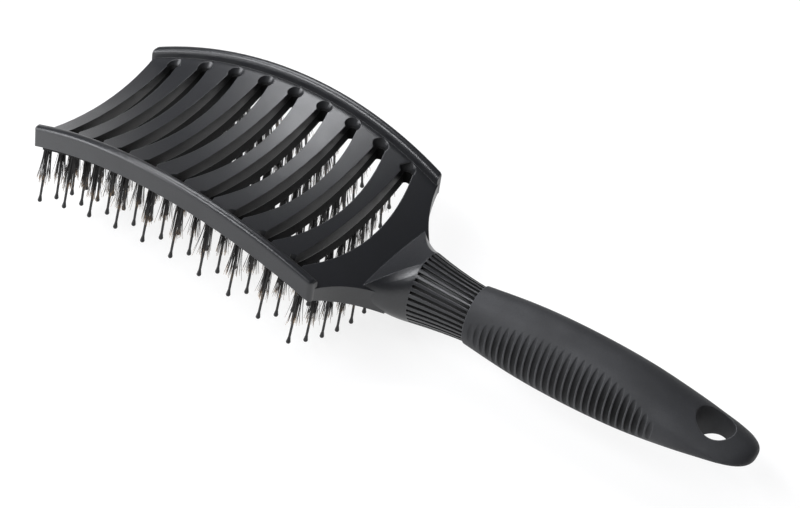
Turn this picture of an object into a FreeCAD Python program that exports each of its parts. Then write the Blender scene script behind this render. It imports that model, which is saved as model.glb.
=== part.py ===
import FreeCAD, Part
import math
import os

import Sketcher

from FreeCAD import Placement, Rotation, Vector

# Curved vented styling brush. X runs along the brush from the head to the handle's end, Y across it,
# Z up. The bristles point down, the middle of the length is x = 0 and the pin tips stand on z = 0.
# Distances along the brush are measured from the head's front, drops from the rails' end corners.

SIZES = {
    "brush_length": 240,
    # head outline from above
    "head_length": 109,
    "front_half": 31.5,
    "middle_half": 37.5,
    "rear_half": 36.6,
    "front_hollow": 2.6,
    "front_corner": 1.6,
    "rear_corner": 1.6,
    "front_setback": 0.2,
    "rear_setback": 0.1,
    "shoulder_radius": 40,
    "shoulder_end": 121.5,
    "shoulder_end_half": 12.8,
    # side rails
    "arch_rise": 11.6,
    "rail_width": 3.4,
    "rail_raise": 0.8,
    "rail_height": 6.4,
    "rail_end_round": 1.3,
    "rail_outer_round": 1.3,
    "rail_inner_round": 1.6,
    # cross curve of the back, thickness of the slats and of the bristle grid under them
    "dish_edge": 2.1,
    "dish_sag": 3.6,
    "slat_edge": 2.6,
    "slat_middle": 4.4,
    "lip_edge": 1.8,
    "grid_edge": 4.4,
    "grid_middle": 3.7,
    # bristle grid outline
    "grid_lip": 1,
    "grid_fit": 0.1,
    "grid_rear": 110.6,
    "grid_rear_half": 22,
    "grid_corner": 4.2,
    # vent slots
    "slot_first": 8.6,
    "slot_pitch": 11.17,
    "slot_end_width": 3.2,
    "slot_front_bow": 0.7,
    "slot_rear_bow": 3.3,
    "slot_bow_step": 0.24,
    "slot_margin": 0.9,
    "slot_rim_width": 0.8,
    "slot_rim_depth": 1.6,
    # bristles
    "row_first": 2.5,
    "row_bow": 4.9,
    "tuft_margin": 1.7,
    "tuft_lean": 10.5,
    "tuft_radius": 1.25,
    "tuft_tip_radius": 1.6,
    "tuft_root": 3.2,
    "tuft_length": 14.2,
    "tuft_depth": 1.8,
    "pin_radius": 0.4,
    "pin_length": 21,
    "ball_radius": 0.72,
    "ball_taper": 1.7,
    # shoulder and fluted neck
    "root_half_width": 21,
    "root_half_height": 10.5,
    "root_drop": 4.2,
    "shoulder_half_width": 15.8,
    "shoulder_half_height": 10.5,
    "shoulder_drop": 12.2,
    "ramp_start": 114.6,
    "ramp_angle": 28,
    "ramp_sink": 0.4,
    "neck_start": 127.1,
    "neck_half_width": 10.4,
    "neck_half_height": 12.3,
    "neck_drop": 13.3,
    "waist_half_width": 8.9,
    "waist_half_height": 10.6,
    "flute_width": 1,
    "flute_depth": 1.2,
    "flute_setback": 0.3,
    # grip
    "grip_start": 146.1,
    "grip_drop": 13.5,
    "grip_step": 0.6,
    "grip_wall": 2.4,
    "rib_first": 148.7,
    "rib_pitch": 2.3,
    "rib_width": 1.75,
    "rib_height": 9.8,
    "rib_end_height": 3.6,
    "rib_depth_share": 0.2,
    "rib_end_depth_share": 0.6,
    "hole_radius": 6.1,
    "hole_to_end": 14,
}
# half width and half height of the grip at shares of its length
GRIP_SHARES = [0, 0.08, 0.17, 0.32, 0.47, 0.62, 0.77, 0.86, 0.93, 0.975]
GRIP_HALF_WIDTHS = [8.6, 9.3, 10, 10.7, 11.1, 11.1, 10.8, 10, 8.6, 6.2]
GRIP_HALF_HEIGHTS = [10.1, 11.1, 12, 12.5, 11.9, 10.3, 7.3, 5.4, 4.1, 3]
TANG_SECTIONS = 6
DISH_SHARES = [-0.03, 0.16, 0.34, 0.52, 0.7, 0.88, 1.04, 1.2]
SLOTS = 9
ROWS = 10
TUFTS_PER_ROW = 11
FLUTES = 34
RIBS = 28

doc = FreeCAD.newDocument("StylingBrush")
sizes = doc.addObject("Spreadsheet::Sheet", "Sizes")
derived = doc.addObject("Spreadsheet::Sheet", "Derived")


def add_cell(sheet, name, text):
    row = len(sheet.getNonEmptyCells()) // 2 + 1
    sheet.set(f"A{row}", name)
    sheet.set(f"B{row}", text)
    sheet.setAlias(f"B{row}", name)


def derive(name, formula):
    """Keep a value that follows from the sizes in the second sheet."""
    add_cell(derived, name, f"={formula}")
    derived.recompute()
    return f"Derived.{name}"


def value(text):
    """Number of a bound value such as Sizes.rail_width or -Derived.slot_half_3."""
    sheet_name, alias = text.lstrip("-").split(".")
    number = float(doc.getObject(sheet_name).get(alias))
    return -number if text.startswith("-") else number


for name, number in SIZES.items():
    add_cell(sizes, name, str(number))
for index, (width, height) in enumerate(zip(GRIP_HALF_WIDTHS, GRIP_HALF_HEIGHTS)):
    add_cell(sizes, f"grip_half_width_{index}", str(width))
    add_cell(sizes, f"grip_half_height_{index}", str(height))
doc.recompute()

# The rails' tops lie on one arc, and each side of the head is an arc through three half widths.
ARCH_RADIUS = derive(
    "arch_radius", "((Sizes.head_length / 2)^2 + Sizes.arch_rise^2) / (2 * Sizes.arch_rise)"
)
derive("front_square", "Sizes.front_half^2")
derive("middle_square", "(Sizes.head_length / 2)^2 + Sizes.middle_half^2")
derive("rear_square", "Sizes.head_length^2 + Sizes.rear_half^2")
derive("side_turn", "Sizes.head_length * (Sizes.rear_half + Sizes.front_half - 2 * Sizes.middle_half)")
SIDE_X = derive(
    "side_x",
    "(Derived.front_square * (Sizes.middle_half - Sizes.rear_half)"
    " + Derived.middle_square * (Sizes.rear_half - Sizes.front_half)"
    " + Derived.rear_square * (Sizes.front_half - Sizes.middle_half)) / Derived.side_turn",
)
SIDE_Y = derive(
    "side_y",
    "(Derived.front_square - 2 * Derived.middle_square + Derived.rear_square)"
    " * Sizes.head_length / 2 / Derived.side_turn",
)
SIDE_RADIUS = derive("side_radius", "sqrt(Derived.side_x^2 + (Sizes.front_half - Derived.side_y)^2)")


def arch_formula(x):
    """Height of the rails' tops over their end corners."""
    return f"sqrt({ARCH_RADIUS}^2 - ({x} - Sizes.head_length / 2)^2) - {ARCH_RADIUS} + Sizes.arch_rise"


def half_formula(x, radius=SIDE_RADIUS):
    """Half width of the head between the rails' outer faces, or less with a smaller radius."""
    return f"{SIDE_Y} + sqrt({radius}^2 - ({x} - {SIDE_X})^2)"


def arch_height(x):
    middle = value("Sizes.head_length") / 2
    radius = value(ARCH_RADIUS)
    return math.sqrt(radius**2 - (x - middle) ** 2) - radius + value("Sizes.arch_rise")


def half_width(x):
    return value(SIDE_Y) + math.sqrt(value(SIDE_RADIUS) ** 2 - (x - value(SIDE_X)) ** 2)


def dished_height(x, y, edge, middle):
    """Height of a dished surface over the rails' end corners, from its drops at the rails and half way."""
    half = half_width(x) - value("Sizes.rail_width") / 2
    sag = value(middle) - value(edge)
    radius = (half**2 + sag**2) / (2 * sag)
    return arch_height(x) - value(middle) + radius - math.sqrt(radius**2 - y**2)


TOP_EDGE = "Sizes.dish_edge"
TOP_MIDDLE = derive("top_middle", "Sizes.dish_edge + Sizes.dish_sag")
SEAT_EDGE = derive("seat_edge", "Sizes.dish_edge + Sizes.slat_edge")
SEAT_MIDDLE = derive("seat_middle", "Derived.top_middle + Sizes.slat_middle")
LIP_EDGE = derive("lip_edge", "Derived.seat_edge + Sizes.lip_edge")
UNDER_EDGE = derive("under_edge", "Derived.seat_edge + Sizes.grid_edge")
UNDER_MIDDLE = derive("under_middle", "Derived.seat_middle + Sizes.grid_middle")
FRONT_X = derive("front_x", "-Sizes.brush_length / 2")
LAST_ROW_X = derive("last_row_x", f"Sizes.row_first + {ROWS - 1} * Sizes.slot_pitch + Sizes.row_bow")
CORNER_Z = derive("corner_z", f"Derived.under_middle + Sizes.pin_length - ({arch_formula(LAST_ROW_X)})")


def place(thing, x="0", z="0", turn=Rotation()):
    """Put a thing at a distance from the head's front and a height over the rails' end corners."""
    thing.Placement = Placement(Vector(), turn)
    thing.setExpression("Placement.Base.x", f"{FRONT_X} + {x}")
    thing.setExpression("Placement.Base.z", f"{CORNER_Z} + {z}")


def draw(name, corners, arcs):
    """Closed outline through bound corners. An arc from a corner to the next one has a radius and
    the side, left or right of the way, on which its centre lies."""
    sketch = doc.addObject("Sketcher::SketchObject", name)
    points = [Vector(value(across), value(up), 0) for across, up in corners]
    ends = []
    for index, start in enumerate(points):
        end = points[(index + 1) % len(points)]
        if index not in arcs:
            sketch.addGeometry(Part.LineSegment(start, end))
            ends.append((1, 2))
            continue
        radius, side = arcs[index]
        way = end - start
        normal = Vector(-way.y, way.x, 0).normalize() * (1 if side == "left" else -1)
        centre = (start + end) / 2 + normal * math.sqrt(max(value(radius) ** 2 - (way.Length / 2) ** 2, 0))
        first, last = (start, end) if side == "left" else (end, start)
        angles = [math.atan2(point.y - centre.y, point.x - centre.x) for point in (first, last)]
        circle = Part.Circle(centre, Vector(0, 0, 1), value(radius))
        sketch.addGeometry(Part.ArcOfCircle(circle, *angles))
        ends.append((1, 2) if side == "left" else (2, 1))
    for index, (across, up) in enumerate(corners):
        before = index - 1 if index else len(corners) - 1
        joined = Sketcher.Constraint("Coincident", before, ends[before][1], index, ends[index][0])
        sketch.addConstraint(joined)
        for kind, bound in (("DistanceX", across), ("DistanceY", up)):
            constraint = Sketcher.Constraint(kind, -1, 1, index, ends[index][0], value(bound))
            number = sketch.addConstraint(constraint)
            sketch.setExpression(f"Constraints[{number}]", bound)
    for index, (radius, side) in arcs.items():
        number = sketch.addConstraint(Sketcher.Constraint("Radius", index, value(radius)))
        sketch.setExpression(f"Constraints[{number}]", radius)
    return sketch


SECTION = Rotation(Vector(1, 1, 1), 120)
PROFILE = Rotation(Vector(1, 0, 0), 90)
REACH = 60


def prism(name, sketch):
    """Straight solid through an outline, long enough on both sides to pass the whole brush."""
    solid = doc.addObject("Part::Extrusion", name)
    solid.Base = sketch
    solid.DirMode = "Normal"
    solid.LengthFwd = 2 * REACH
    solid.Symmetric = True
    solid.Solid = True
    return solid


def loft(name, sections):
    solid = doc.addObject("Part::Loft", name)
    solid.Sections = sections
    solid.Solid = True
    return solid


def combine(kind, name, base, tool):
    result = doc.addObject(f"Part::{kind}", name)
    result.Base = base
    result.Tool = tool
    return result


def gather(kind, name, pieces):
    result = doc.addObject(f"Part::{kind}", name)
    if kind == "Compound":
        result.Links = pieces
    else:
        result.Shapes = pieces
    return result


def arc_radius(name, half, rise):
    return derive(name, f"(({half})^2 + ({rise})^2) / (2 * ({rise}))")


ZERO = derive("zero", "0")
BEFORE_HEAD = derive("before_head", "-0.1 * Sizes.head_length")
BEHIND_HEAD = derive("behind_head", "1.1 * Sizes.head_length")


def side_prism(name, radius):
    """Block between the two side arcs of the head, longer than the head."""
    front_half = derive(f"{name}_front_half", half_formula(BEFORE_HEAD, radius))
    rear_half = derive(f"{name}_rear_half", half_formula(BEHIND_HEAD, radius))
    sketch = draw(
        f"{name}_outline",
        [
            (BEFORE_HEAD, f"-{front_half}"),
            (BEHIND_HEAD, f"-{rear_half}"),
            (BEHIND_HEAD, rear_half),
            (BEFORE_HEAD, front_half),
        ],
        {0: (radius, "left"), 2: (radius, "left")},
    )
    place(sketch)
    return prism(name, sketch)


# Outline of the slats: a front edge that is hollow in plan, sides that end inside the rails and
# concave shoulders from the rails' rear ends to the neck.
WEB_RADIUS = derive("web_radius", f"{SIDE_RADIUS} - 0.3 * Sizes.rail_width")
WEB_FRONT_HALF = derive("web_front_half", half_formula("Sizes.front_setback", WEB_RADIUS))
WEB_FRONT_RADIUS = arc_radius("web_front_radius", WEB_FRONT_HALF, "Sizes.front_hollow")
WEB_SIDE_X = derive("web_side_x", "Sizes.head_length - Sizes.rear_corner")
WEB_SIDE_HALF = derive("web_side_half", half_formula(WEB_SIDE_X, WEB_RADIUS))
WEB_REAR_X = derive("web_rear_x", "Sizes.head_length - Sizes.rear_setback")
WEB_REAR_HALF = derive("web_rear_half", "Sizes.rear_half - Sizes.rear_corner")
web_sketch = draw(
    "web_outline",
    [
        ("Sizes.front_setback", f"-{WEB_FRONT_HALF}"),
        (WEB_SIDE_X, f"-{WEB_SIDE_HALF}"),
        (WEB_REAR_X, f"-{WEB_REAR_HALF}"),
        ("Sizes.shoulder_end", "-Sizes.shoulder_end_half"),
        ("Sizes.shoulder_end", "Sizes.shoulder_end_half"),
        (WEB_REAR_X, WEB_REAR_HALF),
        (WEB_SIDE_X, WEB_SIDE_HALF),
        ("Sizes.front_setback", WEB_FRONT_HALF),
    ],
    {
        0: (WEB_RADIUS, "left"),
        2: ("Sizes.shoulder_radius", "right"),
        4: ("Sizes.shoulder_radius", "right"),
        6: (WEB_RADIUS, "left"),
        7: (WEB_FRONT_RADIUS, "right"),
    },
)
place(web_sketch)

# Side rails: an arched band, kept between the outer and the inner side arcs, with rounded edges.
INNER_RADIUS = derive("inner_radius", f"{SIDE_RADIUS} - Sizes.rail_width")
RAIL_TOP = "Sizes.rail_raise"
RAIL_FOOT = derive("rail_foot", "-Sizes.rail_height")
band_sketch = draw(
    "rail_band_outline",
    [(ZERO, RAIL_TOP), ("Sizes.head_length", RAIL_TOP), ("Sizes.head_length", RAIL_FOOT), (ZERO, RAIL_FOOT)],
    {0: (ARCH_RADIUS, "right"), 2: (ARCH_RADIUS, "left")},
)
place(band_sketch, turn=PROFILE)
band = prism("rail_band", band_sketch)
rim = combine("Cut", "rim", side_prism("outer_side", SIDE_RADIUS), side_prism("inner_side", INNER_RADIUS))
rails_plain = combine("Common", "rails_plain", band, rim)
doc.recompute()


def rail_edge_size(edge):
    """Name of the size that rounds an edge of the plain rails, or None for an edge that stays sharp."""
    middle = edge.valueAt((edge.FirstParameter + edge.LastParameter) / 2)
    x = middle.x - value(FRONT_X)
    height = middle.z - value(CORNER_Z) - arch_height(min(max(x, 0), value("Sizes.head_length")))
    outer = abs(middle.y) > half_width(x) - value("Sizes.rail_width") / 4
    if edge.BoundBox.XLength > value("Sizes.head_length") / 2:
        if middle.z < value(CORNER_Z) + value("Sizes.arch_rise") / 2:
            return None
        return "rail_outer_round" if outer else "rail_inner_round"
    if height > -value("Sizes.rail_height") / 4:
        return "rail_end_round"
    if height < -3 * value("Sizes.rail_height") / 4 or not outer:
        return None
    return "front_corner" if x < value("Sizes.head_length") / 2 else "rear_corner"


# a rounding stays under half of the rail's width
ROUND_LIMIT = 0.48 * value("Sizes.rail_width")
rails = doc.addObject("Part::Fillet", "rails")
rails.Base = rails_plain
rail_edges = []
for number, edge in enumerate(rails_plain.Shape.Edges, 1):
    size = rail_edge_size(edge)
    if size:
        radius = min(value(f"Sizes.{size}"), ROUND_LIMIT)
        rail_edges.append((number, radius, radius))
rails.Edges = rail_edges

# Dished layers of the head: cross sections with hollow tops and bottoms follow the rails' arch.
DISH_X = []
DISH_HALF = []
for index, share in enumerate(DISH_SHARES):
    DISH_X.append(derive(f"dish_x_{index}", f"{share} * Sizes.head_length"))
    DISH_HALF.append(derive(f"dish_half_{index}", f"{half_formula(DISH_X[index])} - Sizes.rail_width / 2"))


def dish_layer(name, top_edge, top_middle, bottom_edge, bottom_middle, last_bottom=None):
    """Loft between two dished surfaces. The last section may have its own bottom."""
    sections = []
    for index, (x, half) in enumerate(zip(DISH_X, DISH_HALF)):
        if last_bottom and index == len(DISH_X) - 1:
            bottom_edge, bottom_middle = last_bottom
        top_radius = arc_radius(f"{name}_top_{index}", half, f"{top_middle} - {top_edge}")
        bottom_radius = arc_radius(f"{name}_bottom_{index}", half, f"{bottom_middle} - {bottom_edge}")
        section = draw(
            f"{name}_section_{index}",
            [
                (f"-{half}", f"-{bottom_edge}"),
                (half, f"-{bottom_edge}"),
                (half, f"-{top_edge}"),
                (f"-{half}", f"-{top_edge}"),
            ],
            {0: (bottom_radius, "left"), 2: (top_radius, "right")},
        )
        place(section, x, arch_formula(x), SECTION)
        sections.append(section)
    return loft(name, sections)


SINK_EDGE = derive("sink_edge", f"{TOP_EDGE} + Sizes.ramp_sink")
SINK_MIDDLE = derive("sink_middle", f"{TOP_MIDDLE} + Sizes.ramp_sink")
AIR_EDGE = derive("air_edge", f"{TOP_EDGE} - {REACH / 2}")
AIR_MIDDLE = derive("air_middle", f"{TOP_MIDDLE} - {REACH / 2}")
BELOW_EDGE = derive("below_edge", f"{UNDER_EDGE} + Sizes.grid_edge")
BELOW_MIDDLE = derive("below_middle", f"{UNDER_MIDDLE} + Sizes.grid_edge")
web_layer = dish_layer(
    "web_layer", TOP_EDGE, TOP_MIDDLE, LIP_EDGE, UNDER_MIDDLE, last_bottom=(SEAT_EDGE, SEAT_MIDDLE)
)
air_layer = dish_layer("air_layer", AIR_EDGE, AIR_MIDDLE, SINK_EDGE, SINK_MIDDLE)
seat_layer = dish_layer("seat_layer", SEAT_EDGE, SEAT_MIDDLE, BELOW_EDGE, BELOW_MIDDLE)
grid_layer = dish_layer("grid_layer", SEAT_EDGE, SEAT_MIDDLE, UNDER_EDGE, UNDER_MIDDLE)
web = combine("Common", "web", web_layer, prism("web_prism", web_sketch))


def oval(name, x, half_width_formula, half_height_formula, drop):
    """Cross section of four tangent arcs, rounder or flatter than a circle."""
    width = derive(f"{name}_width", half_width_formula)
    height = derive(f"{name}_height", half_height_formula)
    side = derive(f"{name}_side", f"{width} + (1 + sqrt(0.5)) * ({height} - {width})")
    crown = derive(f"{name}_crown", f"{height} - (1 + sqrt(0.5)) * ({height} - {width})")
    joint_y = derive(f"{name}_joint_y", f"{width} - (1 - sqrt(0.5)) * {side}")
    joint_z = derive(f"{name}_joint_z", f"sqrt(0.5) * {side}")
    corners = [
        (joint_y, f"-{joint_z}"),
        (joint_y, joint_z),
        (f"-{joint_y}", joint_z),
        (f"-{joint_y}", f"-{joint_z}"),
    ]
    arcs = {0: (side, "left"), 1: (crown, "left"), 2: (side, "left"), 3: (crown, "left")}
    sketch = draw(f"{name}_section", corners, arcs)
    place(sketch, x, f"-{drop}", SECTION)
    return sketch


# Shoulder and neck: ovals that grow out of the head's rear and narrow to the grip.
ROOT_X = "Sizes.grid_rear"
SHOULDER_X = derive("shoulder_x", "(Sizes.grid_rear + Sizes.neck_start) / 2")
FRONT_FACE_WIDTH = "Sizes.grip_half_width_0 - Sizes.grip_step"
FRONT_FACE_HEIGHT = "Sizes.grip_half_height_0 - Sizes.grip_step"
root_oval = oval("root", ROOT_X, "Sizes.root_half_width", "Sizes.root_half_height", "Sizes.root_drop")
shoulder_oval = oval(
    "shoulder", SHOULDER_X, "Sizes.shoulder_half_width", "Sizes.shoulder_half_height", "Sizes.shoulder_drop"
)
neck_oval = oval(
    "neck", "Sizes.neck_start", "Sizes.neck_half_width", "Sizes.neck_half_height", "Sizes.neck_drop"
)
WAIST_X = derive("waist_x", "(Sizes.neck_start + Sizes.grip_start) / 2")
waist_oval = oval("waist", WAIST_X, "Sizes.waist_half_width", "Sizes.waist_half_height", "Sizes.grip_drop")
neck_end_oval = oval("neck_end", "Sizes.grip_start", FRONT_FACE_WIDTH, FRONT_FACE_HEIGHT, "Sizes.grip_drop")
shoulder = loft("shoulder", [root_oval, shoulder_oval, neck_oval])
neck = loft("neck", [neck_oval, waist_oval, neck_end_oval])

# The shoulder stays under the dished back until a flat ramp rises from it to the neck's top.
RAMP_Z = derive("ramp_z", f"{arch_formula('Sizes.ramp_start')} - {TOP_MIDDLE}")
RAMP_END = derive("ramp_end", f"{RAMP_Z} + {REACH} * tan(Sizes.ramp_angle * 1 deg)")
RAMP_END_X = derive("ramp_end_x", f"Sizes.ramp_start + {REACH}")
RAMP_FOOT = derive("ramp_foot", f"{RAMP_Z} - 2 * {REACH} * tan(Sizes.ramp_angle * 1 deg)")
RAMP_FOOT_X = derive("ramp_foot_x", f"Sizes.ramp_start - 2 * {REACH}")
RAMP_TOP = derive("ramp_top", f"{RAMP_END} + {REACH}")
ramp_sketch = draw(
    "ramp_outline",
    [(RAMP_FOOT_X, RAMP_FOOT), (RAMP_END_X, RAMP_END), (RAMP_END_X, RAMP_TOP), (RAMP_FOOT_X, RAMP_TOP)],
    {},
)
place(ramp_sketch, turn=PROFILE)
air = combine("Common", "air", air_layer, prism("ramp_prism", ramp_sketch))
ramped_shoulder = combine("Cut", "ramped_shoulder", shoulder, air)
head_block = gather("MultiFuse", "head_block", [web, ramped_shoulder, neck])


def grid_prism(name, fit):
    """Outline of the bristle grid, drawn in by a fit."""
    front = derive(f"{name}_front", f"Sizes.grid_lip + {fit}")
    rear = derive(f"{name}_rear", f"Sizes.grid_rear - {fit}")
    corner = derive(f"{name}_corner", f"{rear} - Sizes.grid_corner")
    rear_half = derive(f"{name}_rear_half", f"Sizes.grid_rear_half - {fit}")
    radius = derive(f"{name}_radius", f"{INNER_RADIUS} - {fit}")
    front_half = derive(f"{name}_front_half", half_formula(front, radius))
    corner_half = derive(f"{name}_corner_half", half_formula(corner, radius))
    front_radius = arc_radius(f"{name}_front_radius", front_half, "Sizes.front_hollow")
    sketch = draw(
        f"{name}_outline",
        [
            (front, f"-{front_half}"),
            (corner, f"-{corner_half}"),
            (rear, f"-{rear_half}"),
            (rear, rear_half),
            (corner, corner_half),
            (front, front_half),
        ],
        {0: (radius, "left"), 4: (radius, "left"), 5: (front_radius, "right")},
    )
    place(sketch)
    return prism(name, sketch)


grid_seat = combine("Common", "grid_seat", seat_layer, grid_prism("seat_prism", ZERO))
head_seated = combine("Cut", "head_seated", head_block, grid_seat)

# Vent slots: straight through the slats and the grid, wide in the middle, narrow at the rails. Each one
# is bowed a step more than the slot before it and has sloped ends.
SLOT_END_RADIUS = derive("slot_end_radius", "0.56 * Sizes.slot_end_width")


def slot_rim(name, front, half, side):
    """Cone that slopes the end of a slot outward, from a depth below the slats up past their tops."""
    reach = value("Sizes.slot_end_width") / 2
    x = front + reach
    y = side * (half - math.sqrt(value(SLOT_END_RADIUS) ** 2 - reach**2))
    z = dished_height(x, y, TOP_EDGE, TOP_MIDDLE) - 1.5 * value("Sizes.slot_rim_depth")
    cone = doc.addObject("Part::Cone", name)
    cone.setExpression("Radius1", f"{SLOT_END_RADIUS} - 0.5 * Sizes.slot_rim_width")
    cone.setExpression("Radius2", f"{SLOT_END_RADIUS} + 1.5 * Sizes.slot_rim_width")
    cone.setExpression("Height", "2 * Sizes.slot_rim_depth")
    cone.Placement.Base = Vector(value(FRONT_X) + x, y, value(CORNER_Z) + z)
    return cone


slots = []
slot_rims = []
for index in range(SLOTS):
    front = derive(f"slot_front_{index}", f"Sizes.slot_first + {index} * Sizes.slot_pitch")
    rear = derive(f"slot_rear_{index}", f"{front} + Sizes.slot_end_width")
    half = derive(
        f"slot_half_{index}",
        f"{half_formula(front)} - Sizes.rail_width - Sizes.slot_margin - Sizes.slot_end_width / 2",
    )
    rear_bow = derive(f"slot_bow_{index}", f"Sizes.slot_rear_bow + {index} * Sizes.slot_bow_step")
    sketch = draw(
        f"slot_outline_{index}",
        [(front, f"-{half}"), (front, half), (rear, half), (rear, f"-{half}")],
        {
            0: (arc_radius(f"slot_front_radius_{index}", half, "Sizes.slot_front_bow"), "left"),
            1: (SLOT_END_RADIUS, "right"),
            2: (arc_radius(f"slot_rear_radius_{index}", half, rear_bow), "right"),
            3: (SLOT_END_RADIUS, "right"),
        },
    )
    place(sketch)
    slots.append(prism(f"slot_{index}", sketch))
    for side in (1, -1):
        slot_rims.append(slot_rim(f"slot_rim_{index}_{side + 1}", value(front), value(half), side))

# Flutes: square grooves all round the neck, from just behind the shoulder out through the neck's end face.
NECK_ENDS = [
    ("Sizes.neck_start", "Sizes.neck_half_width", "Sizes.neck_half_height", "Sizes.neck_drop"),
    ("Sizes.grip_start", "Derived.neck_end_width", "Derived.neck_end_height", "Sizes.grip_drop"),
]
flutes = []
for index in range(FLUTES):
    turn = 2 * math.pi * index / FLUTES
    across = math.cos(turn)
    up = math.sin(turn)
    line = []
    for x, width, height, drop in NECK_ENDS:
        z = value(CORNER_Z) - value(drop) + value(height) * up
        line.append(Vector(value(FRONT_X) + value(x), value(width) * across, z))
    along = line[1] - line[0]
    out = Vector(0, across / value("Sizes.neck_half_width"), up / value("Sizes.neck_half_height"))
    axes = Rotation(along, Vector(), out, "XZY")
    setback = value("Sizes.flute_setback")
    flute = doc.addObject("Part::Box", f"flute_{index}")
    flute.Length = along.Length - setback + value("Sizes.flute_depth")
    flute.setExpression("Width", "Sizes.flute_width")
    flute.setExpression("Height", "3 * Sizes.flute_depth")
    corner = Vector(setback, -value("Sizes.flute_width") / 2, -value("Sizes.flute_depth"))
    flute.Placement = Placement(line[0] + axes.multVec(corner), axes)
    flutes.append(flute)

# Grip sleeve around the frame's tang: ovals that swell, narrow to the hang hole and close at the end.
grip_ovals = []
tang_ovals = []
for index, share in enumerate(GRIP_SHARES):
    x = derive(f"grip_x_{index}", f"Sizes.grip_start + {share} * (Sizes.brush_length - Sizes.grip_start)")
    width = f"Sizes.grip_half_width_{index}"
    height = f"Sizes.grip_half_height_{index}"
    grip_ovals.append(oval(f"grip_{index}", x, width, height, "Sizes.grip_drop"))
    if index < TANG_SECTIONS:
        inner_width = f"{width} - Sizes.grip_wall"
        inner_height = f"{height} - Sizes.grip_wall"
        tang_ovals.append(oval(f"tang_{index}", x, inner_width, inner_height, "Sizes.grip_drop"))
grip_end = doc.addObject("Part::Vertex", "grip_end")
place(grip_end, "Sizes.brush_length", "-Sizes.grip_drop")
grip = loft("grip", grip_ovals + [grip_end])
tang = loft("tang", tang_ovals)

head_railed = gather("MultiFuse", "head_railed", [head_seated, rails, tang])
head_vented = combine("Cut", "head_vented", head_railed, gather("Compound", "slots", slots))
head_slotted = combine("Cut", "head_slotted", head_vented, gather("Compound", "slot_rims", slot_rims))
head_frame = combine("Cut", "head_frame", head_slotted, gather("Compound", "flutes", flutes))

hang_hole = doc.addObject("Part::Cylinder", "hang_hole")
hang_hole.setExpression("Radius", "Sizes.hole_radius")
hang_hole.Height = REACH
place(hang_hole, "Sizes.brush_length - Sizes.hole_to_end", f"-Sizes.grip_drop - {REACH / 2}")
doc.recompute()

# Ribs: rows of lens-shaped cross grooves on both sides of the grip, tallest and deepest half way along.
# Each groove is a ring cut whose floor runs out of the grip's side at the groove's two tips.
GRIP_Z = value(CORNER_Z) - value("Sizes.grip_drop")


def between(end, middle, share):
    return value(end) + share * (value(middle) - value(end))


ribs = []
for index in range(RIBS):
    x = value("Sizes.rib_first") + index * value("Sizes.rib_pitch") + value(FRONT_X)
    swell = 1 - abs(2 * index / (RIBS - 1) - 1) ** 2.6
    height = between("Sizes.rib_end_height", "Sizes.rib_height", swell)
    section = Part.Face(grip.Shape.slice(Vector(1, 0, 0), x)[0])
    half = section.BoundBox.YMax
    fall = half - section.slice(Vector(0, 0, 1), GRIP_Z + height)[0].BoundBox.YMax
    depth = fall * between("Sizes.rib_end_depth_share", "Sizes.rib_depth_share", swell)
    floor_radius = (height**2 + (fall - depth) ** 2) / (2 * (fall - depth))
    groove_radius = (value("Sizes.rib_width") ** 2 / 4 + depth**2) / (2 * depth)
    offset = floor_radius - half + depth
    for side, y in (("near", offset), ("far", -offset)):
        rib = doc.addObject("Part::Torus", f"rib_{side}_{index}")
        rib.Radius1 = floor_radius + groove_radius
        rib.Radius2 = groove_radius
        rib.Placement = Placement(Vector(x, y, GRIP_Z), Rotation(Vector(0, 1, 0), 90))
        ribs.append(rib)
grip_cuts = gather("Compound", "grip_cuts", [tang, hang_hole] + ribs)
grip_sleeve = combine("Cut", "grip_sleeve", grip, grip_cuts)


def bristle_places(row):
    """Places of a bowed row of tufts with an even margin to the rails, leaning outward towards them."""
    row_x = value("Sizes.row_first") + row * value("Sizes.slot_pitch")
    outermost = half_width(row_x) - value("Sizes.rail_width") - value("Sizes.tuft_margin")
    places = []
    for index in range(TUFTS_PER_ROW):
        share = 2 * index / (TUFTS_PER_ROW - 1) - 1
        x = row_x + value("Sizes.row_bow") * (1 - share**2)
        y = share * outermost
        z = dished_height(x, y, LIP_EDGE, UNDER_MIDDLE)
        spot = Vector(value(FRONT_X) + x, y, value(CORNER_Z) + z)
        places.append(Placement(spot, Rotation(Vector(1, 0, 0), share * value("Sizes.tuft_lean"))))
    return places


def cylinder(name, radius, height, start):
    """Round bar along Z from a start height."""
    bar = doc.addObject("Part::Cylinder", name)
    bar.setExpression("Radius", radius)
    bar.setExpression("Height", height)
    bar.setExpression("Placement.Base.z", start)
    return bar


def cone(name, low_radius, high_radius, height, start):
    bar = doc.addObject("Part::Cone", name)
    bar.setExpression("Radius1", low_radius)
    bar.setExpression("Radius2", high_radius)
    bar.setExpression("Height", height)
    bar.setExpression("Placement.Base.z", start)
    return bar


def copies(name, master, places):
    """Group of equal solids at a list of places."""
    links = []
    for index, spot in enumerate(places):
        link = doc.addObject("App::Link", f"{name}_{index}")
        link.LinkedObject = master
        link.Placement = spot
        links.append(link)
    return gather("Compound", name, links)


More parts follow.
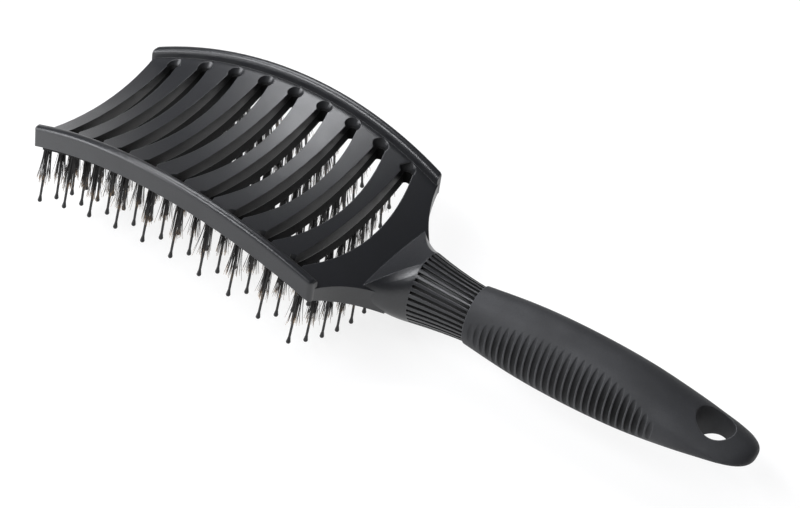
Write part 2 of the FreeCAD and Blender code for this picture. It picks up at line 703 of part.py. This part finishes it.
# One blind hole, one boar tuft and one ball pin, each with z = 0 at the mouth of the hole.
hole = cylinder("tuft_hole", "Sizes.tuft_radius", "Sizes.tuft_depth + Sizes.tuft_root", "-Sizes.tuft_root")
plug = cylinder("tuft_plug", "Sizes.tuft_radius", "Sizes.tuft_depth + Sizes.tuft_root", "-Sizes.tuft_root")
hair = cone(
    "tuft_hair",
    "Sizes.tuft_tip_radius",
    "Sizes.tuft_radius",
    "Sizes.tuft_length - Sizes.tuft_root",
    "-Sizes.tuft_length",
)
bore = cylinder("tuft_bore", "Sizes.pin_radius", "2 * Sizes.pin_length", "-Sizes.pin_length")
tuft = combine("Cut", "tuft", gather("MultiFuse", "tuft_solid", [plug, hair]), bore)

BALL_Z = "Sizes.ball_radius - Sizes.pin_length"
stem = cylinder(
    "pin_stem", "Sizes.pin_radius", "Sizes.tuft_depth + Sizes.pin_length - Sizes.ball_radius", BALL_Z
)
ball = doc.addObject("Part::Sphere", "pin_ball")
ball.setExpression("Radius", "Sizes.ball_radius")
ball.setExpression("Placement.Base.z", BALL_Z)
taper = cone("pin_taper", "Sizes.ball_radius", "Sizes.pin_radius", "Sizes.ball_taper", BALL_Z)
pin = gather("MultiFuse", "pin", [stem, ball, taper])

ROW_PLACES = [bristle_places(row) for row in range(ROWS)]
tuft_holes = copies("tuft_holes", hole, sum(ROW_PLACES, []))

# Bristle grid: the vented carrier that sits in the frame's underside and holds the tufts.
grid_blank = combine("Common", "grid_blank", grid_layer, grid_prism("grid_prism", "Sizes.grid_fit"))
grid_cuts = gather("Compound", "grid_cuts", slots + [tuft_holes])
bristle_grid = combine("Cut", "bristle_grid", grid_blank, grid_cuts)

nodes = [head_frame, bristle_grid, grip_sleeve]
for row, places in enumerate(ROW_PLACES, 1):
    nodes.append(copies(f"boar_tufts_row_{row:02d}", tuft, places))
    nodes.append(copies(f"ball_pins_row_{row:02d}", pin, places))
doc.recompute()

for thing in doc.Objects:
    if "Invalid" in thing.State or "Error" in thing.State:
        raise RuntimeError(f"{thing.Name} did not build")
    if hasattr(thing, "Shape") and (thing.Shape.isNull() or not thing.Shape.isValid()):
        raise RuntimeError(f"{thing.Name} has a bad shape")

os.makedirs("parts", exist_ok=True)
for node in nodes:
    node.Label = node.Name
    node.Shape.exportStep(f"parts/{node.Label}.step")
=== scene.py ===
import math
import random

import bpy
from mathutils import Matrix, Vector


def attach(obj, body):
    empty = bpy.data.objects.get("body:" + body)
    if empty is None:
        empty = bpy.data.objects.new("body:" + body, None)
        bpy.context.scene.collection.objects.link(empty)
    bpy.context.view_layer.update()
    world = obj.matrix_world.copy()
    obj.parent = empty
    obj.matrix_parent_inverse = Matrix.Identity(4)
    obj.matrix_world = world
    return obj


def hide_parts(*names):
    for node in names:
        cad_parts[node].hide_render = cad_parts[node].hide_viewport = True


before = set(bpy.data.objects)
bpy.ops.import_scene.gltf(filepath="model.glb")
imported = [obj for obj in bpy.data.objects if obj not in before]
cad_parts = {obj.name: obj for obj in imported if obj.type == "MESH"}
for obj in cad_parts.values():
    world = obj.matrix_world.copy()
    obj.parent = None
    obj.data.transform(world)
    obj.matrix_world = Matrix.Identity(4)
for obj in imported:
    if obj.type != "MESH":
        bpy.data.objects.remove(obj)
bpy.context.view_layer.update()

scene = bpy.context.scene
scene.view_settings.view_transform = "Standard"

# Camera: a long lens that looks down on the head's near front corner, a little rolled, as in the photo.
# Its place and turn come from the rails' arcs, the slot ends and the handle's edges in the photo.
camera_lens = bpy.data.cameras.new("photo_camera")
camera_lens.lens = 97.31
camera_lens.sensor_width = 36
camera_lens.clip_start = 0.05
camera = bpy.data.objects.new("photo_camera", camera_lens)
camera.location = (0.23277, -0.45855, 0.43294)
camera.rotation_euler = [math.radians(turn) for turn in (51.547, -7.251, 32.921)]
scene.collection.objects.link(camera)
scene.camera = camera

# Head frame: the arched back of the brush with its side rails, vent slats, shoulder, fluted neck and the
# tang inside the grip. One injection moulding in charcoal nylon with a fine satin skin.
FRAME_DARK = (0.011, 0.0115, 0.0135, 1)
FRAME_LIGHT = (0.018, 0.019, 0.0215, 1)
# paler colour of the frame's rounded edges: rubbed wear and a painted highlight along the rails
FRAME_RUBBED_HIGHLIGHT = (0.16, 0.165, 0.175, 1)


def new_group(name, inputs, outputs):
    """Empty shader group with named sockets, and its input and output nodes."""
    group = bpy.data.node_groups.new(name, "ShaderNodeTree")
    for socket, kind, start in inputs:
        made = group.interface.new_socket(socket, in_out="INPUT", socket_type=kind)
        if start is not None:
            made.default_value = start
    for socket, kind in outputs:
        group.interface.new_socket(socket, in_out="OUTPUT", socket_type=kind)
    return group, group.nodes.new("NodeGroupInput"), group.nodes.new("NodeGroupOutput")


def add(tree, kind, inputs=None, **settings):
    """New node with its settings, its plain input values and its links."""
    node = tree.nodes.new(kind)
    for name, setting in settings.items():
        setattr(node, name, setting)
    for name, given in (inputs or {}).items():
        if isinstance(given, bpy.types.NodeSocket):
            tree.links.new(given, node.inputs[name])
        else:
            node.inputs[name].default_value = given
    return node


# moulded skin: the fine spark-eroded grain of the tool, slow cloudiness of the resin and an uneven gloss
moulded_skin, skin_in, skin_out = new_group(
    "moulded_skin",
    [
        ("Grain per Metre", "NodeSocketFloat", 3000),
        ("Dark", "NodeSocketColor", (0.02, 0.02, 0.02, 1)),
        ("Light", "NodeSocketColor", (0.03, 0.03, 0.03, 1)),
        ("Gloss Low", "NodeSocketFloat", 0.5),
        ("Gloss High", "NodeSocketFloat", 0.4),
    ],
    [("Color", "NodeSocketColor"), ("Roughness", "NodeSocketFloat"), ("Height", "NodeSocketFloat")],
)
spot = add(moulded_skin, "ShaderNodeTexCoord").outputs["Object"]
grain = add(
    moulded_skin,
    "ShaderNodeTexNoise",
    {"Vector": spot, "Scale": skin_in.outputs["Grain per Metre"], "Detail": 2, "Roughness": 0.6},
)
cloud = add(moulded_skin, "ShaderNodeTexNoise", {"Vector": spot, "Scale": 90, "Detail": 3})
tone = add(
    moulded_skin,
    "ShaderNodeMath",
    {0: grain.outputs["Fac"], 1: cloud.outputs["Fac"]},
    operation="MULTIPLY",
)
spread = add(moulded_skin, "ShaderNodeMapRange", {0: tone.outputs[0], 1: 0.12, 2: 0.4})
skin_color = add(
    moulded_skin,
    "ShaderNodeMix",
    {0: spread.outputs[0], 6: skin_in.outputs["Dark"], 7: skin_in.outputs["Light"]},
    data_type="RGBA",
)
skin_gloss = add(
    moulded_skin,
    "ShaderNodeMapRange",
    {
        0: tone.outputs[0],
        1: 0.12,
        2: 0.4,
        3: skin_in.outputs["Gloss Low"],
        4: skin_in.outputs["Gloss High"],
    },
)
moulded_skin.links.new(skin_color.outputs[2], skin_out.inputs["Color"])
moulded_skin.links.new(skin_gloss.outputs[0], skin_out.inputs["Roughness"])
moulded_skin.links.new(grain.outputs["Fac"], skin_out.inputs["Height"])

# rubbed edges and painted highlight: where a rounded edge turns away from its face, the skin is painted
# paler, partly as polish by hands and hair and partly as a painted highlight
rubbed_edge_highlight, edge_highlight_in, edge_highlight_out = new_group(
    "rubbed_edge_highlight",
    [
        ("Color", "NodeSocketColor", (0.02, 0.02, 0.02, 1)),
        ("Rubbed Highlight", "NodeSocketColor", (0.06, 0.06, 0.06, 1)),
        ("Rounded Normal", "NodeSocketVector", None),
        ("Amount", "NodeSocketFloat", 0.5),
    ],
    [("Color", "NodeSocketColor")],
)
flat_normal = add(rubbed_edge_highlight, "ShaderNodeNewGeometry").outputs["Normal"]
facing = add(
    rubbed_edge_highlight,
    "ShaderNodeVectorMath",
    {0: edge_highlight_in.outputs["Rounded Normal"], 1: flat_normal},
    operation="DOT_PRODUCT",
)
turning = add(rubbed_edge_highlight, "ShaderNodeMapRange", {0: facing.outputs["Value"], 1: 0.98, 2: 0.75})
patchy = add(
    rubbed_edge_highlight,
    "ShaderNodeTexNoise",
    {"Vector": add(rubbed_edge_highlight, "ShaderNodeTexCoord").outputs["Object"], "Scale": 240, "Detail": 3},
)
worn_and_lit = add(
    rubbed_edge_highlight,
    "ShaderNodeMath",
    {0: turning.outputs[0], 1: patchy.outputs["Fac"]},
    operation="MULTIPLY",
)
share = add(
    rubbed_edge_highlight,
    "ShaderNodeMath",
    {0: worn_and_lit.outputs[0], 1: edge_highlight_in.outputs["Amount"]},
    operation="MULTIPLY",
)
edge_color = add(
    rubbed_edge_highlight,
    "ShaderNodeMix",
    {0: share.outputs[0], 6: edge_highlight_in.outputs["Color"], 7: edge_highlight_in.outputs["Rubbed Highlight"]},
    data_type="RGBA",
)
rubbed_edge_highlight.links.new(edge_color.outputs[2], edge_highlight_out.inputs["Color"])

# painted shade in grooves: where ambient occlusion finds a narrow groove or slot wall, its colour is
# darkened with painted shade and its roughness is raised
groove_shade_group, groove_shade_in, groove_shade_out = new_group(
    "painted_groove_shade",
    [
        ("Color", "NodeSocketColor", (0.02, 0.02, 0.02, 1)),
        ("Roughness", "NodeSocketFloat", 0.4),
        ("Groove Width", "NodeSocketFloat", 0.002),
        ("Shade Start", "NodeSocketFloat", 0.85),
        ("Shade Full", "NodeSocketFloat", 0.5),
        # colour of the painted shade at the floor of a groove
        ("Groove Shade Color", "NodeSocketColor", (0.003, 0.003, 0.003, 1)),
    ],
    [("Color", "NodeSocketColor"), ("Roughness", "NodeSocketFloat")],
)
# ambient occlusion picks the grooves that get the painted shade
openness = add(
    groove_shade_group,
    "ShaderNodeAmbientOcclusion",
    {"Distance": groove_shade_in.outputs["Groove Width"]},
    samples=8,
)
depth = add(
    groove_shade_group,
    "ShaderNodeMapRange",
    {
        0: openness.outputs["AO"],
        1: groove_shade_in.outputs["Shade Start"],
        2: groove_shade_in.outputs["Shade Full"],
    },
)
groove_shade_color = add(
    groove_shade_group,
    "ShaderNodeMix",
    {0: depth.outputs[0], 6: groove_shade_in.outputs["Color"], 7: groove_shade_in.outputs["Groove Shade Color"]},
    data_type="RGBA",
)
groove_gloss = add(
    groove_shade_group,
    "ShaderNodeMapRange",
    {0: depth.outputs[0], 3: groove_shade_in.outputs["Roughness"], 4: 0.95},
)
groove_shade_group.links.new(groove_shade_color.outputs[2], groove_shade_out.inputs["Color"])
groove_shade_group.links.new(groove_gloss.outputs[0], groove_shade_out.inputs["Roughness"])


def moulded_plastic(
    name,
    dark,
    light,
    rubbed_highlight,
    gloss,
    shine,
    grain_per_metre,
    grain_depth,
    edge_radius,
    groove_width,
    groove_shade_strength,
):
    """Moulded part with the grained skin, softly rounded edges painted paler with rubbed wear and a
    painted highlight, and grooves darkened with painted shade and made duller.
    """
    material = bpy.data.materials.new(name)
    material.use_nodes = True
    tree = material.node_tree
    shader = tree.nodes["Principled BSDF"]
    skin = add(tree, "ShaderNodeGroup", node_tree=moulded_skin)
    skin.inputs["Grain per Metre"].default_value = grain_per_metre
    skin.inputs["Dark"].default_value = dark
    skin.inputs["Light"].default_value = light
    skin.inputs["Gloss Low"].default_value = gloss[0]
    skin.inputs["Gloss High"].default_value = gloss[1]
    rounded = add(tree, "ShaderNodeBevel", {"Radius": edge_radius}, samples=6)
    # the rounded edges turn paler: rubbed wear and a painted highlight
    edge = add(tree, "ShaderNodeGroup", node_tree=rubbed_edge_highlight)
    edge.inputs["Rubbed Highlight"].default_value = rubbed_highlight
    tree.links.new(skin.outputs["Color"], edge.inputs["Color"])
    tree.links.new(rounded.outputs[0], edge.inputs["Rounded Normal"])
    bump = add(
        tree,
        "ShaderNodeBump",
        {"Height": skin.outputs["Height"], "Normal": rounded.outputs[0], "Distance": grain_depth},
    )
    # the painted shade darkens and dulls the grooves and slot walls
    groove = add(tree, "ShaderNodeGroup", node_tree=groove_shade_group)
    groove.inputs["Groove Width"].default_value = groove_width
    groove.inputs["Shade Start"].default_value = groove_shade_strength[0]
    groove.inputs["Shade Full"].default_value = groove_shade_strength[1]
    tree.links.new(edge.outputs["Color"], groove.inputs["Color"])
    tree.links.new(skin.outputs["Roughness"], groove.inputs["Roughness"])
    tree.links.new(groove.outputs["Color"], shader.inputs["Base Color"])
    tree.links.new(groove.outputs["Roughness"], shader.inputs["Roughness"])
    tree.links.new(bump.outputs[0], shader.inputs["Normal"])
    shader.inputs["Specular IOR Level"].default_value = shine
    return material


def finish_node(node, material):
    """Give a solid of the frame its finish."""
    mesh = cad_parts[node].data
    mesh.materials.clear()
    mesh.materials.append(material)


satin_charcoal = moulded_plastic(
    "satin_charcoal",
    dark=FRAME_DARK,
    light=FRAME_LIGHT,
    rubbed_highlight=FRAME_RUBBED_HIGHLIGHT,
    gloss=(0.36, 0.28),
    shine=0.65,
    grain_per_metre=3200,
    grain_depth=0.00003,
    edge_radius=0.0003,
    # reach and strength of the painted shade in the slot walls and flutes
    groove_width=0.006,
    groove_shade_strength=(0.67, 0.46),
)
finish_node("head_frame", satin_charcoal)

# Bristle grid: the lower, vented carrier that is set into the underside of the head frame and is drilled
# for the tufts. Moulded in black nylon, duller than the frame.
GRID_DARK = (0.008, 0.008, 0.009, 1)
GRID_LIGHT = (0.013, 0.013, 0.014, 1)
GRID_RUBBED = (0.035, 0.035, 0.037, 1)
satin_black = moulded_plastic(
    "satin_black",
    dark=GRID_DARK,
    light=GRID_LIGHT,
    rubbed_highlight=GRID_RUBBED,
    gloss=(0.72, 0.62),
    shine=0.2,
    grain_per_metre=2600,
    grain_depth=0.00004,
    edge_radius=0.0002,
    # reach and strength of the painted shade in the grid's slots
    groove_width=0.006,
    groove_shade_strength=(0.8, 0.5),
)
finish_node("bristle_grid", satin_black)

# Grip sleeve: the swelling handle with its ribbed sides and hang hole, moulded over the frame's tang in
# a soft-touch charcoal rubber with a finer, duller skin than the frame's.
GRIP_DARK = (0.016, 0.0165, 0.0185, 1)
GRIP_LIGHT = (0.025, 0.026, 0.029, 1)
# paler colour of the grip's rib ridges and rounded edges: some rubbed wear, mostly a painted highlight
GRIP_RUBBED_HIGHLIGHT = (0.34, 0.345, 0.36, 1)
soft_touch = moulded_plastic(
    "soft_touch_charcoal",
    dark=GRIP_DARK,
    light=GRIP_LIGHT,
    rubbed_highlight=GRIP_RUBBED_HIGHLIGHT,
    gloss=(0.66, 0.56),
    shine=0.4,
    grain_per_metre=4200,
    grain_depth=0.00003,
    edge_radius=0.0005,
    # reach and strength of the painted shade in the rib grooves
    groove_width=0.0025,
    groove_shade_strength=(0.94, 0.62),
)
finish_node("grip_sleeve", soft_touch)

# Boar tufts: bundles of cut boar hair, folded and stapled into the grid's holes in ten bowed rows. The
# hairs are dark, flagged and straw-coloured at their ragged tips, and splay round the pins.
ROWS = 10
TUFTS_PER_ROW = 11
HEAD_FRONT = -0.120
HEAD_LENGTH = 0.109
CORNER_HEIGHT = 0.0343285
ARCH_RISE = 0.0116
ARCH_RADIUS = 0.133828
SIDE_CENTRE = (0.0746047, -0.3956384)
SIDE_RADIUS = 0.4336047
RAIL_WIDTH = 0.0034
GRID_DROP = 0.0138
GRID_SAG = 0.0073
ROW_FIRST = 0.0025
ROW_PITCH = 0.01117
ROW_BOW = 0.0049
TUFT_MARGIN = 0.0017
TUFT_LEAN = 10.5
TUFT_RADIUS = 0.00118
TUFT_TIP_RADIUS = 0.00155
TUFT_LENGTH = 0.0142
HAIRS_PER_TUFT = 38
HAIR_RADIUS = 0.00012
HAIR_STEPS = 5
HAIR_ROOT_DEPTH = 0.0009
HAIR_LENGTH_SPREAD = (0.86, 1.06)
HAIR_FLARES = (0.6, 0.9, 1.1, 1.3, 1.8)
HAIR_STRAY = 0.0005
HAIR_SEED = 700
HAIR_DARK = (0.006, 0.005, 0.005, 1)
HAIR_BROWN = (0.045, 0.024, 0.012, 1)
HAIR_STRAW = (0.26, 0.17, 0.09, 1)


def arch_height(x):
    """Height of the rails' tops at a distance from the head's front."""
    middle = HEAD_LENGTH / 2
    return CORNER_HEIGHT + math.sqrt(ARCH_RADIUS**2 - (x - middle) ** 2) - ARCH_RADIUS + ARCH_RISE


def half_width(x):
    """Half the head's width at a distance from its front."""
    return SIDE_CENTRE[1] + math.sqrt(SIDE_RADIUS**2 - (x - SIDE_CENTRE[0]) ** 2)


def tuft_places(row):
    """Where the tufts of a row leave the grid, and how they lean outward."""
    row_x = ROW_FIRST + row * ROW_PITCH
    outermost = half_width(row_x) - RAIL_WIDTH - TUFT_MARGIN
    places = []
    for index in range(TUFTS_PER_ROW):
        share = 2 * index / (TUFTS_PER_ROW - 1) - 1
        x = row_x + ROW_BOW * (1 - share**2)
        y = share * outermost
        half = half_width(x) - RAIL_WIDTH / 2
        bend = (half**2 + GRID_SAG**2) / (2 * GRID_SAG)
        z = arch_height(x) - GRID_DROP + bend - math.sqrt(bend**2 - y**2)
        lean = Matrix.Rotation(math.radians(share * TUFT_LEAN), 4, "X")
        places.append(Matrix.Translation((HEAD_FRONT + x, y, z)) @ lean)
    return places


def strand(luck, points, faces, strand_uv, place):
    """One tapering, slightly bent hair of three sides from inside the grid to its ragged tip."""
    angle = luck.uniform(0, 2 * math.pi)
    spread = math.sqrt(luck.uniform(0.16, 1))
    across = Vector((math.cos(angle), math.sin(angle), 0))
    length = TUFT_LENGTH * luck.uniform(*HAIR_LENGTH_SPREAD) - 0.0006 * spread
    root = across * TUFT_RADIUS * spread
    tip = across * TUFT_TIP_RADIUS * spread * luck.choice(HAIR_FLARES)
    stray = Vector((luck.gauss(0, HAIR_STRAY), luck.gauss(0, HAIR_STRAY), 0))
    shade = luck.random()
    first = len(points)
    for step in range(HAIR_STEPS + 1):
        along = step / HAIR_STEPS
        middle = root.lerp(tip, along**1.6) + stray * along**2
        middle.z = HAIR_ROOT_DEPTH - (length + HAIR_ROOT_DEPTH) * along
        thick = HAIR_RADIUS * (1 - 0.55 * along**2)
        for side in range(3):
            turn = angle + side * 2 * math.pi / 3
            rim = Vector((math.cos(turn), math.sin(turn), 0)) * thick
            points.append(place @ (middle + rim))
            strand_uv.append((shade, along))
    for step in range(HAIR_STEPS):
        low = first + 3 * step
        for side in range(3):
            other = (side + 1) % 3
            faces.append((low + other, low + side, low + 3 + side, low + 3 + other))
    last = first + 3 * HAIR_STEPS
    faces.append((last + 2, last + 1, last))
    faces.append((first, first + 1, first + 2))


boar_hair = bpy.data.materials.new("boar_hair")
boar_hair.use_nodes = True
hair_tree = boar_hair.node_tree
hair_shader = hair_tree.nodes["Principled BSDF"]
hair_map = add(hair_tree, "ShaderNodeUVMap", uv_map="strand")
hair_axes = add(hair_tree, "ShaderNodeSeparateXYZ", {0: hair_map.outputs[0]})
hair_late = add(
    hair_tree,
    "ShaderNodeMath",
    {0: hair_axes.outputs["X"], 1: 0.1, 2: hair_axes.outputs["Y"]},
    operation="MULTIPLY_ADD",
)
hair_fade = add(hair_tree, "ShaderNodeValToRGB", {0: hair_late.outputs[0]})
hair_fade.color_ramp.elements[0].position = 0.0
hair_fade.color_ramp.elements[0].color = HAIR_DARK
hair_fade.color_ramp.elements[1].position = 0.80
hair_fade.color_ramp.elements[1].color = HAIR_DARK
for where, color in ((0.97, HAIR_BROWN), (1.0, HAIR_STRAW)):
    hair_fade.color_ramp.elements.new(where).color = color
hair_tree.links.new(hair_fade.outputs[0], hair_shader.inputs["Base Color"])
hair_gloss = add(hair_tree, "ShaderNodeMapRange", {0: hair_axes.outputs["X"], 3: 0.38, 4: 0.6})
hair_tree.links.new(hair_gloss.outputs[0], hair_shader.inputs["Roughness"])

for row in range(ROWS):
    luck = random.Random(HAIR_SEED + row)
    points = []
    faces = []
    strand_uv = []
    for place in tuft_places(row):
        for count in range(HAIRS_PER_TUFT):
            strand(luck, points, faces, strand_uv, place)
    mesh = bpy.data.meshes.new(f"boar_hair_row_{row + 1:02d}")
    mesh.from_pydata(points, [], faces)
    layer = mesh.uv_layers.new(name="strand")
    for loop in mesh.loops:
        layer.data[loop.index].uv = strand_uv[loop.vertex_index]
    mesh.materials.append(boar_hair)
    tufts = bpy.data.objects.new(f"boar_hair_row_{row + 1:02d}", mesh)
    scene.collection.objects.link(tufts)
    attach(tufts, "root")
    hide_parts(f"boar_tufts_row_{row + 1:02d}")

# Ball pins: one flexible nylon pin stands in the middle of each tuft and ends in a teardrop ball that
# keeps the hairs off the scalp. Moulded in smooth black nylon, pressed into the grid.
PIN_BLACK = (0.006, 0.006, 0.007, 1)
PIN_GREY = (0.013, 0.013, 0.014, 1)
PIN_RUBBED = (0.03, 0.03, 0.03, 1)
smooth_black = moulded_plastic(
    "smooth_black",
    dark=PIN_BLACK,
    light=PIN_GREY,
    rubbed_highlight=PIN_RUBBED,
    gloss=(0.36, 0.28),
    shine=0.5,
    grain_per_metre=5200,
    grain_depth=0.00001,
    edge_radius=0.0001,
    # reach and strength of the painted shade in the pins' hollows
    groove_width=0.0005,
    groove_shade_strength=(0.8, 0.4),
)
for row in range(ROWS):
    finish_node(f"ball_pins_row_{row + 1:02d}", smooth_black)

# Studio: a white sweep under the brush, seen white by the camera and in reflections, that still keeps a
# soft shadow, in a dark room with a pale horizon. A long softbox hangs over the near rail, one stands low
# on the left and one hangs behind.
FLOOR_SIZE = 24
FLOOR_DROP = 0.0002
HORIZON_LEVEL = 0.9
ROOM_LEVEL = 0.05
SOFTBOX_COLOR = (0.96, 0.97, 1)
floor_mesh = bpy.data.meshes.new("floor")
corner = FLOOR_SIZE / 2
floor_mesh.from_pydata(
    [(-corner, -corner, 0), (corner, -corner, 0), (corner, corner, 0), (-corner, corner, 0)],
    [],
    [(0, 1, 2, 3)],
)
floor = bpy.data.objects.new("floor", floor_mesh)
floor.location.z = -FLOOR_DROP
scene.collection.objects.link(floor)


def seen_directly(tree):
    """Share of a ray that shows the background itself: camera, glossy and transmission rays."""
    path = add(tree, "ShaderNodeLightPath")
    some = add(
        tree,
        "ShaderNodeMath",
        {0: path.outputs["Is Camera Ray"], 1: path.outputs["Is Glossy Ray"]},
        operation="ADD",
    )
    return add(
        tree,
        "ShaderNodeMath",
        {0: some.outputs[0], 1: path.outputs["Is Transmission Ray"]},
        operation="ADD",
        use_clamp=True,
    ).outputs[0]


sweep = bpy.data.materials.new("white_sweep")
sweep.use_nodes = True
sweep_tree = sweep.node_tree
sweep_tree.nodes.remove(sweep_tree.nodes["Principled BSDF"])
paper = add(sweep_tree, "ShaderNodeBsdfDiffuse", {"Color": (0.8, 0.8, 0.8, 1)})
paper_shadow = add(sweep_tree, "ShaderNodeBsdfDiffuse", {"Color": (0.22, 0.22, 0.22, 1)})
paper_glow = add(sweep_tree, "ShaderNodeEmission", {"Color": (1, 1, 1, 1), "Strength": 0.82})
paper_seen = add(sweep_tree, "ShaderNodeAddShader", {0: paper_shadow.outputs[0], 1: paper_glow.outputs[0]})
sweep_mix = add(
    sweep_tree,
    "ShaderNodeMixShader",
    {0: seen_directly(sweep_tree), 1: paper.outputs[0], 2: paper_seen.outputs[0]},
)
sweep_tree.links.new(sweep_mix.outputs[0], sweep_tree.nodes["Material Output"].inputs["Surface"])
floor_mesh.materials.append(sweep)

world = bpy.data.worlds.new("studio")
scene.world = world
world.use_nodes = True
world_tree = world.node_tree
room = world_tree.nodes["Background"]
room.inputs["Color"].default_value = (1, 1, 1, 1)
sky = add(world_tree, "ShaderNodeTexCoord").outputs["Generated"]
sky_axes = add(world_tree, "ShaderNodeSeparateXYZ", {0: sky})
sky_level = add(
    world_tree,
    "ShaderNodeMapRange",
    {0: sky_axes.outputs["Z"], 1: 0.02, 2: 0.17, 3: HORIZON_LEVEL, 4: ROOM_LEVEL},
)
world_tree.links.new(sky_level.outputs[0], room.inputs["Strength"])


def softbox(name, place, target, width, height, power):
    """Area lamp at a place, turned to a target."""
    lamp = bpy.data.lights.new(name, "AREA")
    lamp.shape = "RECTANGLE"
    lamp.size = width
    lamp.size_y = height
    lamp.energy = power
    lamp.color = SOFTBOX_COLOR
    holder = bpy.data.objects.new(name, lamp)
    holder.location = place
    holder.rotation_euler = (Vector(target) - Vector(place)).to_track_quat("-Z", "Y").to_euler()
    scene.collection.objects.link(holder)


softbox("key_softbox", (-0.38, -0.58, 0.87), (-0.05, 0, 0.03), 1.1, 0.28, 12)
softbox("left_softbox", (-0.95, -0.70, 0.26), (-0.02, 0, 0.03), 0.8, 0.40, 7.5)
softbox("top_softbox", (-0.46, 0.42, 0.94), (0, 0, 0.03), 0.7, 0.36, 7.5)
